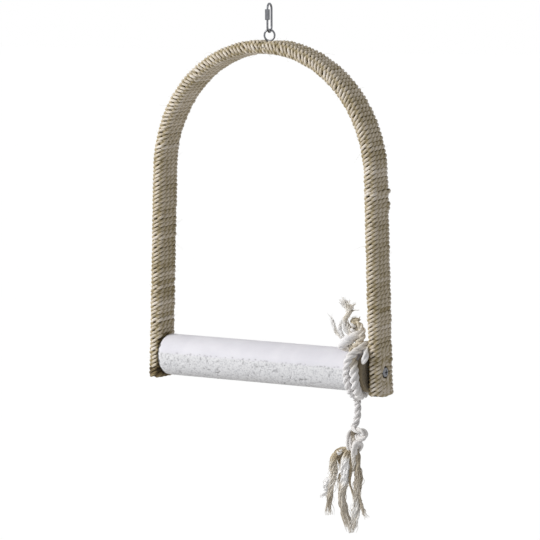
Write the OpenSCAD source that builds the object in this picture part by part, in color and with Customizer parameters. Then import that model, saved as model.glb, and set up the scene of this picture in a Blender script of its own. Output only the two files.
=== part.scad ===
// Bird swing: a bent flat bar wound with sisal rope, a cement perch screwed between
// its feet, a cotton rope tied round the perch's right end, and an eye and a quick
// link to hang it by. The origin is the inside of the quick link's top bend, +Z is up,
// X runs along the perch and the front is towards -Y.

/* [Arch] */
// Height of the wound arch, from its feet to its crown
arch_height = 327.5; // [310:0.5:345]
// Distance between the middles of the bar's two feet
foot_spacing = 248.6; // [236:0.2:262]
// Lean of each leg from the vertical, in degrees
leg_lean = 1.7; // [1:0.1:3]
// Radius of the bar's middle line at the shoulders
shoulder_radius = 124; // [118:1:130]
// Half the angle of the crown's arc, in degrees
crown_half_angle = 52; // [47:1:57]
// Width of the bar, front to back
bar_w = 21; // [18:0.5:24]
// Thickness of the bar
bar_t = 4.5; // [3.5:0.25:6]
// Distance of the eye to the right of the arch's middle
eye_offset = 2; // [0:0.5:4]

/* [Sisal rope] */
// Thickness of the layer of sisal rope
sisal_d = 4.2; // [3.6:0.1:4.8]
// Distance between the middles of two turns
sisal_pitch = 4; // [3.9:0.1:4.6]

/* [Perch] */
// Diameter of the cement perch
perch_d = 39.7; // [36:0.1:42]
// Height of the perch's axis above the feet
perch_rise = 21.8; // [21:0.1:30]
// Bevel round the ends of the perch
perch_bevel = 0.8; // [0.4:0.1:1.5]
// Outer diameter of the threaded inserts
insert_od = 10; // [8:0.5:14]
// Length of the threaded inserts
insert_len = 36; // [30:1:50]
// Diameter of the perch screws
screw_d = 5; // [4:0.5:6]
// Length of the perch screws under the head
screw_len = 42; // [30:1:45]
// Diameter of the screw heads
screw_head_d = 9.4; // [8:0.1:11]
// Height of the screw heads
screw_head_h = 3.6; // [3:0.1:4]

/* [Eye and nut] */
// Outer diameter of the eye's ring
eye_od = 12.2; // [11:0.1:15]
// Wire diameter of the eye's ring
eye_wire = 1.8; // [1.5:0.1:2.4]
// Height of the ring's middle above the wound crown
eye_rise = 4; // [3:0.1:5]
// Turn of the ring about the vertical, in degrees
eye_turn = 10; // [0:1:20]
// Diameter of the eye's threaded shank
shank_d = 3; // [2.5:0.1:3.5]
// Width of the nut across its flats
nut_af = 5.5; // [5:0.1:7]
// Height of the nut's hexagon
nut_h = 2.6; // [2:0.1:3.5]
// Height of the round collar below the hexagon
nut_collar_h = 1.4; // [0.8:0.1:2]
// Outer diameter of the washer
washer_od = 7; // [6.8:0.1:9]
// Thickness of the washer
washer_t = 0.5; // [0.4:0.1:1]

/* [Quick link] */
// Outer length of the link
link_length = 28.5; // [26:0.5:36]
// Outer width of the link
link_width = 12; // [11:0.5:15]
// Wire diameter of the link
link_wire = 2; // [1.8:0.1:2.4]
// Length of the sleeve nut
link_nut_len = 10; // [8:0.5:11]
// Width of the sleeve nut across its flats
link_nut_af = 4.4; // [4.2:0.1:5.5]
// Length of the gap that the sleeve nut closes
link_gap = 3.6; // [2.5:0.1:4]

/* [Cotton rope] */
// Diameter of the cotton rope
rope_d = 7; // [6:0.1:8]
// Distance between the middles of two turns on the perch
rope_pitch = 9.6; // [8.6:0.1:11]
// Distance from the perch's end to the first turn
rope_inset = 1.9; // [0.5:0.1:4]

/* [Hidden] */
$fn = 48;

steel_colour = "#8f9294";
sisal_colour = "#cbbd9f";
cement_colour = "#dfdde0";
cotton_colour = "#e3dad2";

// Clearances
bar_gap = 0.3;
perch_end_gap = 0.3;
hole_gap = 0.2;
thread_gap = 0.1;
seat_gap = 0.1;
swing_gap = 0.3;
rope_seat_gap = 0.2;
rope_end_gap = 0.3;
overrun = 1;

// Arch: two leaning legs, two shoulder arcs and a crown arc, all tangent
half_foot = foot_spacing / 2;
wrap_t = bar_t + 2 * sisal_d;
crown_turn = 180 - crown_half_angle;
crown_share = (1 + cos(crown_turn)) / sin(crown_turn);
leg_len = (arch_height - wrap_t / 2 + shoulder_radius * (sin(leg_lean) + cos(crown_turn))
    - crown_share * (half_foot - shoulder_radius * (cos(leg_lean) - sin(crown_turn))))
    / (cos(leg_lean) - crown_share * sin(leg_lean));
shoulder_x = half_foot - leg_len * sin(leg_lean) - shoulder_radius * cos(leg_lean);
shoulder_z = leg_len * cos(leg_lean) - shoulder_radius * sin(leg_lean);
crown_radius = (shoulder_x + shoulder_radius * sin(crown_turn)) / sin(crown_turn);
crown_centre_z = arch_height - wrap_t / 2 - crown_radius;
shoulder_angle = 90 - crown_half_angle - leg_lean;
shoulder_arc = shoulder_radius * shoulder_angle * PI / 180;
half_path = leg_len + shoulder_arc + crown_radius * crown_half_angle * PI / 180;
path_len = 2 * half_path;

// Heights, from the hanging point down
link_inner = link_length - 2 * link_wire;
eye_radius = (eye_od - eye_wire) / 2;
swing_z = -link_inner + swing_gap + eye_wire / 2;
eye_z = swing_z - eye_radius;
crown_z = eye_z - eye_rise;
foot_z = crown_z - arch_height;
perch_z = foot_z + perch_rise;
bar_under_radius = crown_radius - bar_t / 2;
washer_reach = eye_offset + washer_od / 2;
washer_seat_z = foot_z + crown_centre_z
    + sqrt(bar_under_radius * bar_under_radius - washer_reach * washer_reach);

// Perch between the wound legs
function leg_x(rise) = half_foot - rise * tan(leg_lean);
perch_half = leg_x(perch_rise + perch_d / 2) - wrap_t / 2 / cos(leg_lean) - perch_end_gap;
screw_seat_x = leg_x(perch_rise - screw_head_d / 2) + bar_t / 2 / cos(leg_lean) + seat_gap;
head_round = 1.6;
cross_w = 1.2;
cross_l = 5;
cross_depth = 1.8;

// Point and heading of the bar's middle line at a distance from the right foot
function half_point(s) =
    s <= leg_len
    ? [half_foot - s * sin(leg_lean), s * cos(leg_lean), 90 + leg_lean]
    : s <= leg_len + shoulder_arc
    ? arc_point(shoulder_x, shoulder_z, shoulder_radius,
        90 + leg_lean + (s - leg_len) / shoulder_arc * shoulder_angle)
    : arc_point(0, crown_centre_z, crown_radius,
        crown_turn + (s - leg_len - shoulder_arc) / crown_radius * 180 / PI);
function arc_point(x, z, r, heading) = [x + r * sin(heading), z - r * cos(heading), heading];
function bar_point(s) =
    s <= half_path
    ? half_point(s)
    : let (p = half_point(path_len - s)) [-p[0], p[1], 360 - p[2]];
function on_bar(s, out, y) =
    let (p = bar_point(s)) [p[0] + out * sin(p[2]), y, p[1] - out * cos(p[2])];

// Winding on the bar: one helical ridge a turn, on eight lines along the bar
wrap_lines = 8;
bend_share = tan(22.5);
groove_share = 0.66;
wound_run_share = 0.3;
wound_run = wound_run_share * sisal_pitch;
turns = floor((path_len - 2 * wound_run) / sisal_pitch) - 1;
turn_step = (path_len - 2 * wound_run) / (turns + 1);
rings = 2 * turns;
bore_ring_spacing = 8;
bore_rings = 2 * ceil(half_path / bore_ring_spacing);
function wrap_corner(j, h) =
    let (a = bar_t / 2, b = bar_w / 2, c = bend_share * h)
    [[a + h, -b - c], [a + h, b + c], [a + c, b + h], [-a - c, b + h],
        [-a - h, b + c], [-a - h, -b - c], [-a - c, -b - h], [a + c, -b - h]][j];
function wrap_side(j) =
    norm(wrap_corner((j + 1) % wrap_lines, sisal_d) - wrap_corner(j, sisal_d));
function wrap_reach(j) = j == 0 ? 0 : wrap_reach(j - 1) + wrap_side(j - 1);
function wrap_point(s, j, h) = let (c = wrap_corner(j, h)) on_bar(s, c[0], c[1]);
function bore_corner(k) =
    let (a = bar_t / 2 + bar_gap, b = bar_w / 2 + bar_gap)
    [[a, -b], [a, b], [-a, b], [-a, -b]][k];
function quad(a, b, c, d) = [[a, b, c], [a, c, d]];
function joined(lists) = [for (l = lists) for (v = l) v];

// Quick link, in its own plane
link_side = (link_width - link_wire) / 2;
link_top_z = link_wire / 2 - link_side;
link_bottom_z = -link_inner - link_wire / 2 + link_side;
link_seat_share = 0.1;
link_nut_top = link_top_z - link_seat_share * link_wire;
link_gap_top = link_nut_top - link_wire;
link_nut_chamfer = 0.5;
nut_collar_step = 0.5;

// Cotton rope round the perch: it starts in front, passes twice and ends below
rope_radius = rope_d / 2;
turn_radius = perch_d / 2 + rope_seat_gap + rope_radius;
rope_sides = 6;
rings_per_turn = 24;
rope_rings = 29;
rope_end_turn = 360 * rope_rings / rings_per_turn;
rope_first_x = perch_half - eye_offset - rope_radius - rope_inset;
rope_last_x = rope_first_x - rope_pitch * rope_rings / rings_per_turn;
lead_rise_share = 1.5;
lead_rise = lead_rise_share * rope_d;
lead_bend = 7;
lead_bend_rings = 6;
lead_heading = rope_end_turn - 450;
lead_centre_y = -turn_radius * cos(rope_end_turn) + lead_bend * sin(lead_heading);
lead_centre_z = perch_z - turn_radius * sin(rope_end_turn) - lead_bend * cos(lead_heading);
lead_end_y = lead_centre_y + lead_bend;
lead_end_z = lead_centre_z - rope_d;
function turn_point(i) =
    let (a = 180 + 360 * i / rings_per_turn)
    [rope_first_x - rope_pitch * i / rings_per_turn, turn_radius * cos(a), perch_z + turn_radius * sin(a)];
function bend_point(i) =
    let (a = lead_heading - (lead_heading + 90) * i / lead_bend_rings)
    [rope_last_x, lead_centre_y - lead_bend * sin(a), lead_centre_z + lead_bend * cos(a)];
turns_route = joined([
    [[rope_first_x, -turn_radius, perch_z + lead_rise], [rope_first_x, -turn_radius, perch_z + rope_d]],
    [for (i = [0:rope_rings]) turn_point(i)],
    [for (i = [1:lead_bend_rings]) bend_point(i)],
    [[rope_last_x, lead_end_y, lead_end_z]]]);

// Free end of the rope below the perch, down to the middle of its knot
tail_route = [
    [97.5, -1, -378.5], [97.5, -1, -380.5], [97, -1, -382.5], [96.5, -1, -384.5], [96, -1, -386.5],
    [96, -1, -388.5], [96, -1, -390.5], [96, -1, -392.5], [96, -1, -394.5], [96, -1, -396.5],
    [96, -1, -398.5], [96, -1, -400.5], [96.5, -1, -402.5], [96.5, -1, -404.5], [97, -1, -406.5]];
tail_tube_points = 7;
tail_sides = 10;
tail_cap_angles = [74, 58, 40, 20];
tail_top = tail_route[0];
tail_end = tail_route[tail_tube_points - 1];

// Lobes of the knot on the turns: right and up in rope diameters, out and up from
// the perch's axis in reaches of the turns, and the radius in rope diameters
wound_reach = turn_radius + rope_radius + rope_end_gap;
lobe_sides = 8;
lobe_steps = 3;
main_lobe_shares = [[-2.84, -0.6, 0.96, 0.5], [-2.27, -0.42, 1.05, 0.7], [-1.41, -0.26, 1.11, 0.72],
    [-0.49, -0.18, 1.27, 0.54]];
loop_lobe_shares = [[-0.27, -0.07, 1.19, 0.45], [-0.25, -0.11, 1.43, 0.5], [-0.84, -0.15, 1.58, 0.5],
    [-1.5, -0.18, 1.46, 0.46]];
crossing_lobe_shares = [[-0.5, -0.2, 1.31, 0.4], [0.02, -0.44, 1.09, 0.46], [0.06, -0.77, 0.85, 0.46],
    [-0.5, -1.01, 0.55, 0.46]];
fray_shares = [
    [[-2.5, -0.32, 1.3, 0.3], [-3.3, -0.36, 1.34, 0.24], [-4.3, -0.42, 1.52, 0.2], [-5.2, -0.44, 1.88, 0.12]],
    [[-2.5, -0.32, 1.3, 0.3], [-3.2, -0.3, 1.44, 0.24], [-3.9, -0.32, 1.52, 0.2], [-4.4, -0.34, 1.62, 0.12]],
    [[-2.5, -0.32, 1.3, 0.3], [-3.0, -0.28, 1.52, 0.26], [-3.3, -0.24, 1.7, 0.22], [-3.25, -0.2, 1.9, 0.12]],
    [[-2.5, -0.32, 1.3, 0.32], [-2.6, -0.22, 1.6, 0.34], [-2.6, -0.16, 2.0, 0.42], [-2.8, -0.12, 2.3, 0.95],
        [-3, -0.1, 2.42, 0.6]]];

// Lobes of the knot below and locks of the tassel: right, aside, up and the radius,
// in rope diameters from the end of the tail
knot_core_shares = [[0, 0, -0.08, 0.5], [0, 0, -0.4, 0.52], [0.15, 0, -1.3, 0.85], [0.15, 0, -2.3, 0.85],
    [0.05, 0, -3.3, 0.7], [0.05, 0, -3.6, 0.6]];
knot_side_shares = [
    [[-0.9, 0.02, -0.9, 0.42], [-1.05, 0.05, -2.1, 0.5], [-0.9, 0.02, -3.1, 0.44]],
    [[0.95, -0.03, -1.5, 0.5], [0.8, -0.05, -3.15, 0.46]]];
knot_pair_shares = [
    [[-0.8, 0.5, -1.2, 0.44], [0.15, 0.75, -0.85, 0.54], [1.2, 0.5, -1, 0.5]],
    [[0, 0.62, -1.6, 0.44], [-0.05, 0.65, -2.5, 0.5], [0.02, 0.42, -3.3, 0.42]]];
tassel_shares = [
    [[-0.6, 0.2, -3.86, 0.38], [-0.6, 0.2, -4.3, 0.42], [-1.35, 0.35, -5.6, 0.55], [-2, 0.35, -7.6, 0.6],
        [-2.45, 0.35, -9.6, 0.56], [-2.3, 0.25, -11.6, 0.48], [-1.6, 0.15, -13.4, 0.36],
        [-0.87, 0.1, -14.8, 0.16]],
    [[0.1, 0.3, -3.86, 0.46], [0.1, 0.3, -4.3, 0.5], [0.2, 0.4, -6.5, 0.58], [0.1, 0.35, -8.8, 0.52],
        [0.1, 0.2, -11, 0.42], [-0.4, 0.1, -14, 0.2]],
    [[-1, 0.12, -3.95, 0.3], [-1.6, 0.14, -4.4, 0.34], [-2.7, 0.2, -4.95, 0.4], [-3.7, 0.25, -5.8, 0.46],
        [-3.65, 0.2, -7.2, 0.46], [-4.15, 0.2, -8.4, 0.42], [-4.1, 0.15, -10, 0.34], [-4.1, 0.1, -11.8, 0.16]],
    [[-3.6, 0.1, -6.9, 0.3], [-4.9, 0.1, -8.3, 0.22], [-5.5, 0.06, -9.4, 0.12]],
    [[0.1, 0.12, -8.6, 0.3], [0.75, 0.12, -10.6, 0.24], [1.6, 0.06, -12.1, 0.12]]];

// Sweep of a round section along a route, its sides kept square to the route
function unit(v) = v / norm(v);
function route_heading(route, i) =
    unit(route[min(i + 1, len(route) - 1)] - route[max(i - 1, 0)]);
function across_step(route, i, last) =
    let (t = route_heading(route, i)) unit(last - (last * t) * t);
function across(route, i, start) =
    i == 0 ? across_step(route, 0, start) : across_step(route, i, across(route, i - 1, start));
function ring_points(route, i, r, sides, start) =
    let (t = route_heading(route, i), u = across(route, i, start), v = cross(t, u))
    [for (k = [0:sides - 1]) route[i] + r * (cos(360 * k / sides) * u + sin(360 * k / sides) * v)];
function ring_quads(i, sides) =
    joined([for (k = [0:sides - 1]) let (n = (k + 1) % sides, a = i * sides, b = (i + 1) * sides)
        quad(a + k, b + k, b + n, a + n)]);
module swept_tube(route, radii, sides, start) {
    last = len(route) - 1;
    points = joined([for (i = [0:last]) ring_points(route, i, radii[i], sides, start)]);
    walls = joined([for (i = [0:last - 1]) ring_quads(i, sides)]);
    near_end = [for (k = [1:sides - 2]) [0, k, k + 1]];
    far_end = [for (k = [1:sides - 2]) [last * sides, last * sides + k + 1, last * sides + k]];
    polyhedron(points = points, faces = joined([walls, near_end, far_end]));
}

// Smooth curve through chosen points, each a place and a radius
function between(a, b, c, d, t) =
    (2 * b + (c - a) * t + (2 * a - 5 * b + 4 * c - d) * t * t + (3 * b - a - 3 * c + d) * t * t * t) / 2;
function smooth(list, steps) =
    let (last = len(list) - 1)
    joined([[list[0]], [for (i = [0:last - 1]) for (k = [1:steps])
        between(list[max(i - 1, 0)], list[i], list[i + 1], list[min(i + 2, last)], k / steps)]]);
module lobe(list) {
    curve = smooth(list, lobe_steps);
    swept_tube([for (p = curve) [p[0], p[1], p[2]]], [for (p = curve) p[3]], lobe_sides, [0, 1, 0]);
}
module lobe_on_turns(shares) {
    lobe([for (s = shares)
        [rope_first_x + s[0] * rope_d, s[1] * wound_reach, perch_z + s[2] * wound_reach, s[3] * rope_d]]);
}
module lobe_on_tail(shares, side) {
    lobe([for (s = shares)
        [tail_end[0] + s[0] * rope_d, tail_end[1] + side * s[1] * rope_d, tail_end[2] + s[2] * rope_d,
            s[3] * rope_d]]);
}

module arch_place() {
    translate([-eye_offset, 0, foot_z]) children();
}
module on_both_sides() {
    children();
    mirror([1, 0, 0]) children();
}
function bar_edge(out) =
    [for (i = [0:bore_rings]) let (p = on_bar(path_len * i / bore_rings, out, 0)) [p[0], p[2]]];

module arch_bar() {
    under = bar_edge(-bar_t / 2);
    color(steel_colour)
        arch_place()
            difference() {
                translate([0, bar_w / 2, 0])
                    rotate([90, 0, 0])
                        linear_extrude(height = bar_w)
                            polygon(concat(bar_edge(bar_t / 2), [for (i = [bore_rings:-1:0]) under[i]]));
                translate([0, 0, perch_rise])
                    rotate([0, 90, 0])
                        cylinder(h = 2 * foot_spacing, d = screw_d + 2 * hole_gap, center = true);
                translate([eye_offset, 0, arch_height - wrap_t])
                    cylinder(h = wrap_t, d = shank_d + 2 * hole_gap);
            }
}

// Rope wound along the bar from foot to foot, as a sleeve with one helical ridge
module wound_sleeve() {
    rows = rings + 1;
    start = wrap_lines * rows;
    finish = start + wrap_lines;
    bore = finish + wrap_lines;
    girth = wrap_reach(wrap_lines);
    points = joined([
        [for (j = [0:wrap_lines - 1]) for (i = [0:rings])
            wrap_point(wound_run + turn_step * (i / 2 + wrap_reach(j) / girth), j,
                i % 2 == 1 ? sisal_d : groove_share * sisal_d)],
        [for (j = [0:wrap_lines - 1]) wrap_point(0, j, groove_share * sisal_d)],
        [for (j = [0:wrap_lines - 1]) wrap_point(path_len, j, groove_share * sisal_d)],
        [for (i = [0:bore_rings]) for (k = [0:3])
            let (c = bore_corner(k)) on_bar(path_len * i / bore_rings, c[0], c[1])]]);
    walls = joined([for (j = [0:wrap_lines - 2]) for (i = [0:rings - 1])
        let (a = j * rows + i, b = a + rows) quad(a, a + 1, b + 1, b)]);
    seam_line = (wrap_lines - 1) * rows;
    seam = joined([for (i = [0:rings - 3])
        quad(seam_line + i, seam_line + i + 1, i + 3, i + 2)]);
    first_band = joined([
        joined([for (j = [0:wrap_lines - 2]) quad(start + j, j * rows, (j + 1) * rows, start + j + 1)]),
        [for (i = [-1:2]) let (far = start + wrap_lines - 1)
            i == -1 ? [far, 0, start] : i == 2 ? [far, seam_line, 2] : [far, i + 1, i]]]);
    last_band = joined([
        joined([for (j = [0:wrap_lines - 2])
            quad(j * rows + rings, finish + j, finish + j + 1, (j + 1) * rows + rings)]),
        [[finish, seam_line + rings, finish + wrap_lines - 1],
            [finish, seam_line + rings - 1, seam_line + rings],
            [finish, seam_line + rings - 2, seam_line + rings - 1],
            [finish, rings, seam_line + rings - 2]]]);
    bore_walls = joined([for (i = [0:bore_rings - 1]) for (k = [0:3])
        let (n = (k + 1) % 4, a = bore + 4 * i)
        quad(a + k, a + n, a + 4 + n, a + 4 + k)]);
    first_end = joined([for (k = [0:3]) let (n = (k + 1) % 4, o = start + (2 * k + wrap_lines - 1) % wrap_lines)
        joined([[[bore + k, o, start + 2 * k]], quad(bore + k, start + 2 * k, start + 2 * k + 1, bore + n)])]);
    far_bore = bore + 4 * bore_rings;
    last_end = joined([for (k = [0:3]) let (n = (k + 1) % 4, o = finish + (2 * k + wrap_lines - 1) % wrap_lines)
        joined([[[far_bore + k, finish + 2 * k, o]],
            quad(far_bore + k, far_bore + n, finish + 2 * k + 1, finish + 2 * k)])]);
    polyhedron(points = points,
        faces = joined([walls, seam, first_band, last_band, bore_walls, first_end, last_end]));
}

module sisal_wrap() {
    color(sisal_colour)
        arch_place()
            difference() {
                wound_sleeve();
                on_both_sides() {
                    translate([perch_half - overrun, 0, perch_rise])
                        rotate([0, 90, 0])
                            cylinder(h = wrap_t, d = screw_d + 2 * hole_gap);
                    translate([screw_seat_x - bar_t / 2, 0, perch_rise])
                        rotate([0, 90, 0])
                            cylinder(h = wrap_t, d = screw_head_d + 2 * hole_gap);
                }
                translate([eye_offset, 0, arch_height - sisal_d - bar_t / 2])
                    cylinder(h = wrap_t, d = shank_d + 2 * hole_gap);
                translate([eye_offset, 0, arch_height - wrap_t - overrun])
                    cylinder(h = wrap_t / 2, d = washer_od + 2 * hole_gap);
                translate([eye_offset, 0, arch_height + eye_rise])
                    rotate([90, 0, eye_turn])
                        cylinder(h = eye_wire + 2 * swing_gap, d = eye_od + 2 * hole_gap, center = true);
            }
}

module perch_side(side) {
    translate([-eye_offset, 0, perch_z])
        mirror([side < 0 ? 1 : 0, 0, 0])
            rotate([0, 90, 0])
                children();
}

module perch() {
    color(cement_colour)
        difference() {
            perch_side(1)
                rotate_extrude()
                    polygon([[0, -perch_half], [perch_d / 2 - perch_bevel, -perch_half],
                        [perch_d / 2, perch_bevel - perch_half], [perch_d / 2, perch_half - perch_bevel],
                        [perch_d / 2 - perch_bevel, perch_half], [0, perch_half]]);
            for (side = [-1, 1])
                perch_side(side)
                    translate([0, 0, perch_half - insert_len])
                        cylinder(h = insert_len + overrun, d = insert_od + 2 * thread_gap);
            for (side = [-1, 1])
                perch_side(side)
                    translate([0, 0, screw_seat_x - screw_len - overrun])
                        cylinder(h = screw_len, d = screw_d + 2 * thread_gap);
        }
}

module perch_insert(side) {
    color(steel_colour)
        perch_side(side)
            translate([0, 0, perch_half - insert_len])
                difference() {
                    cylinder(h = insert_len, d = insert_od);
                    translate([0, 0, -overrun])
                        cylinder(h = insert_len + 2 * overrun, d = screw_d + 2 * thread_gap);
                }
}

module perch_screw(side) {
    head_r = screw_head_d / 2;
    color(steel_colour)
        perch_side(side)
            translate([0, 0, screw_seat_x])
                difference() {
                    union() {
                        translate([0, 0, -screw_len]) cylinder(h = screw_len, d = screw_d);
                        rotate_extrude()
                            union() {
                                square([head_r - head_round, screw_head_h]);
                                square([head_r, screw_head_h - head_round]);
                                translate([head_r - head_round, screw_head_h - head_round])
                                    circle(r = head_round);
                            }
                    }
                    for (turn = [0, 90])
                        rotate([0, 0, turn])
                            translate([-cross_l / 2, -cross_w / 2, screw_head_h - cross_depth])
                                cube([cross_l, cross_w, screw_head_h]);
                }
}

module eye_bolt() {
    shank_top = eye_z - eye_radius;
    shank_end = washer_seat_z - seat_gap - washer_t - nut_h - nut_collar_h;
    color(steel_colour) {
        translate([0, 0, eye_z])
            rotate([90, 0, eye_turn])
                rotate_extrude()
                    translate([eye_radius, 0])
                        circle(d = eye_wire);
        translate([0, 0, shank_end]) cylinder(h = shank_top - shank_end, d = shank_d);
    }
}

module eye_washer() {
    color(steel_colour)
        translate([0, 0, washer_seat_z - seat_gap - washer_t])
            difference() {
                cylinder(h = washer_t, d = washer_od);
                translate([0, 0, -overrun]) cylinder(h = washer_t + 2 * overrun, d = shank_d + 2 * hole_gap);
            }
}

module eye_nut() {
    color(steel_colour)
        translate([0, 0, washer_seat_z - seat_gap - washer_t - nut_h - nut_collar_h])
            difference() {
                union() {
                    translate([0, 0, nut_collar_h]) cylinder(h = nut_h, d = nut_af / cos(30), $fn = 6);
                    cylinder(h = nut_collar_h, d = nut_af - nut_collar_step);
                }
                translate([0, 0, -overrun])
                    cylinder(h = nut_h + nut_collar_h + 2 * overrun, d = shank_d + 2 * thread_gap);
            }
}

// The link's plane crosses the ring's, and its gate wire is in front
module link_bend(z, start) {
    translate([0, 0, z])
        rotate([0, 90, 0])
            rotate([0, 0, start])
                rotate_extrude(angle = 180)
                    translate([link_side, 0])
                        circle(d = link_wire);
}
module quick_link() {
    color(steel_colour)
        rotate([0, 0, eye_turn]) {
            link_bend(link_top_z, 90);
            link_bend(link_bottom_z, -90);
            translate([0, link_side, link_bottom_z])
                cylinder(h = link_top_z - link_bottom_z, d = link_wire);
            translate([0, -link_side, link_gap_top])
                cylinder(h = link_top_z - link_gap_top, d = link_wire);
            translate([0, -link_side, link_bottom_z])
                cylinder(h = link_gap_top - link_gap - link_bottom_z, d = link_wire);
        }
}

module quick_link_nut() {
    corner_r = link_nut_af / 2 / cos(30);
    face_r = corner_r - link_nut_chamfer;
    color(steel_colour)
        rotate([0, 0, eye_turn])
            translate([0, -link_side, link_nut_top - link_nut_len])
                difference() {
                    intersection() {
                        cylinder(h = link_nut_len, r = corner_r, $fn = 6);
                        rotate_extrude()
                            polygon([[0, 0], [face_r, 0], [corner_r, link_nut_chamfer],
                                [corner_r, link_nut_len - link_nut_chamfer], [face_r, link_nut_len],
                                [0, link_nut_len]]);
                    }
                    translate([0, 0, -overrun])
                        cylinder(h = link_nut_len + 2 * overrun, d = link_wire + 2 * hole_gap);
                }
}

module rope_turns() {
    color(cotton_colour)
        swept_tube(turns_route, [for (p = turns_route) rope_radius], rope_sides, [1, 0, 0]);
}

// Knot on top of the turns: a fat main piece, a loop above it and a crossing piece
module rope_top_knot() {
    color(cotton_colour)
        union() {
            lobe_on_turns(main_lobe_shares);
            lobe_on_turns(loop_lobe_shares);
            lobe_on_turns(crossing_lobe_shares);
        }
}

module rope_top_fray() {
    color(cotton_colour)
        union() for (shares = fray_shares) lobe_on_turns(shares);
}

// The tail's round top turns under the winding's end
module rope_tail() {
    tube = joined([
        [for (a = tail_cap_angles) tail_top + [0, 0, rope_radius * sin(a)]],
        [for (i = [0:tail_tube_points - 1]) tail_route[i]]]);
    radii = joined([
        [for (a = tail_cap_angles) rope_radius * cos(a)],
        [for (i = [1:tail_tube_points]) rope_radius]]);
    color(cotton_colour) swept_tube(tube, radii, tail_sides, [1, 0, 0]);
}

module rope_tail_knot() {
    color(cotton_colour)
        union() {
            lobe_on_tail(knot_core_shares, 1);
            for (shares = knot_side_shares) lobe_on_tail(shares, 1);
            for (shares = knot_pair_shares) for (side = [-1, 1]) lobe_on_tail(shares, side);
        }
}

module rope_tassel() {
    color(cotton_colour)
        union() for (shares = tassel_shares) for (side = [-1, 1]) lobe_on_tail(shares, side);
}

least_gap = min([for (i = [0:rope_rings - rings_per_turn + 2])
    norm(turns_route[i + rings_per_turn] - turns_route[i]) - rope_d]);
echo(least_gap_between_cotton_turns = least_gap);
echo(sisal_turns = turns, sisal_step = turn_step, bar_length = path_len, leg = leg_len, crown = crown_radius);
echo(perch_length = 2 * perch_half, perch_z = perch_z, foot_z = foot_z, eye_z = eye_z, swing_z = swing_z);
echo(crown_z = crown_z, lead_end = [lead_end_y, lead_end_z], rope_x = [rope_last_x, rope_first_x]);
echo(screw_seat_x = screw_seat_x, washer_seat_z = washer_seat_z);

arch_bar();
sisal_wrap();
perch();
perch_insert(-1);  // perch_insert_left
perch_insert(1);  // perch_insert_right
perch_screw(-1);  // perch_screw_left
perch_screw(1);  // perch_screw_right
eye_bolt();
eye_washer();
eye_nut();
quick_link();
quick_link_nut();
rope_turns();
rope_top_knot();
rope_top_fray();
rope_tail();
rope_tail_knot();
rope_tassel();
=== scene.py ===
import math
import random

import bmesh
import bpy
import numpy as np
from mathutils import Matrix, Vector, kdtree, noise


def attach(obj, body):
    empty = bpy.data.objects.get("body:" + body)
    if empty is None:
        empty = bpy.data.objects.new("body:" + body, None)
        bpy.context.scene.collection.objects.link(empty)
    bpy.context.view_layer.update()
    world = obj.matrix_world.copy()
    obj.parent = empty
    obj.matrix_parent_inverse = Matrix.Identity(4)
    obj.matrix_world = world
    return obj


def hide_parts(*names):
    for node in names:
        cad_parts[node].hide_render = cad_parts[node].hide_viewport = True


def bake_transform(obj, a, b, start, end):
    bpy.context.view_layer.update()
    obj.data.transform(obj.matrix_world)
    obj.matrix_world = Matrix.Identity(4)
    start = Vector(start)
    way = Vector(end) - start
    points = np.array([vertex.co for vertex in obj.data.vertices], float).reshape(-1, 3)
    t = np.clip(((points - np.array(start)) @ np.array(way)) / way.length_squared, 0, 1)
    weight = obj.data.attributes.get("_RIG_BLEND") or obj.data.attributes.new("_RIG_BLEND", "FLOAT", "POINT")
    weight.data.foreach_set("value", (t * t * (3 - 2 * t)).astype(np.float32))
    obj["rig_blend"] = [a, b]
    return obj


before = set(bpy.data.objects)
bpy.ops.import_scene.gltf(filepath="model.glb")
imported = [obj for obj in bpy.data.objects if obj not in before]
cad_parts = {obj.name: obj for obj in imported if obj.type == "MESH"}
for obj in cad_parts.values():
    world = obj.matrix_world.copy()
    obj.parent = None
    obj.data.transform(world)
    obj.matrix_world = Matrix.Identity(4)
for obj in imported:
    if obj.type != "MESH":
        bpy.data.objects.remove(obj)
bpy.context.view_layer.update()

# Camera, lamps and floor are placed in metres. Shapes are laid out in millimetres and scaled in their meshes.
MM = 0.001
FULL_TURN = 2 * math.pi


# Camera and lamps

CAMERA_PLACE = (1.4679, -2.2649, 0.0361)
CAMERA_YAW, CAMERA_PITCH, CAMERA_ROLL = 32.95, -6.05, -0.15
SENSOR_WIDTH = 36
LENS_LENGTH = 191.27
CLIP_END = 100
LAMP_AIM = (0, 0, -0.2)


def place_camera():
    """A long lens, a little above the hanging point and to the right of the front."""
    yaw, pitch, roll = (math.radians(angle) for angle in (CAMERA_YAW, CAMERA_PITCH, CAMERA_ROLL))
    ahead = Vector((-math.sin(yaw) * math.cos(pitch), math.cos(yaw) * math.cos(pitch), math.sin(pitch)))
    level = Vector((math.cos(yaw), math.sin(yaw), 0))
    right = math.cos(roll) * level + math.sin(roll) * level.cross(ahead)
    up = right.cross(ahead)
    camera = bpy.data.objects.new("camera", bpy.data.cameras.new("camera"))
    camera.data.sensor_width = SENSOR_WIDTH
    camera.data.lens = LENS_LENGTH
    camera.data.clip_end = CLIP_END
    turn = Matrix((right, up, -ahead)).transposed().to_4x4()
    camera.matrix_world = Matrix.Translation(CAMERA_PLACE) @ turn
    bpy.context.scene.collection.objects.link(camera)
    bpy.context.scene.camera = camera


def soft_lamp(name, place, size, power):
    """A round lamp turned to the swing."""
    lamp = bpy.data.lights.new(name, "AREA")
    lamp.shape = "DISK"
    lamp.size = size
    lamp.energy = power
    piece = bpy.data.objects.new(name, lamp)
    facing = (Vector(LAMP_AIM) - Vector(place)).to_track_quat("-Z", "Y")
    piece.matrix_world = Matrix.Translation(place) @ facing.to_matrix().to_4x4()
    bpy.context.scene.collection.objects.link(piece)


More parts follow.
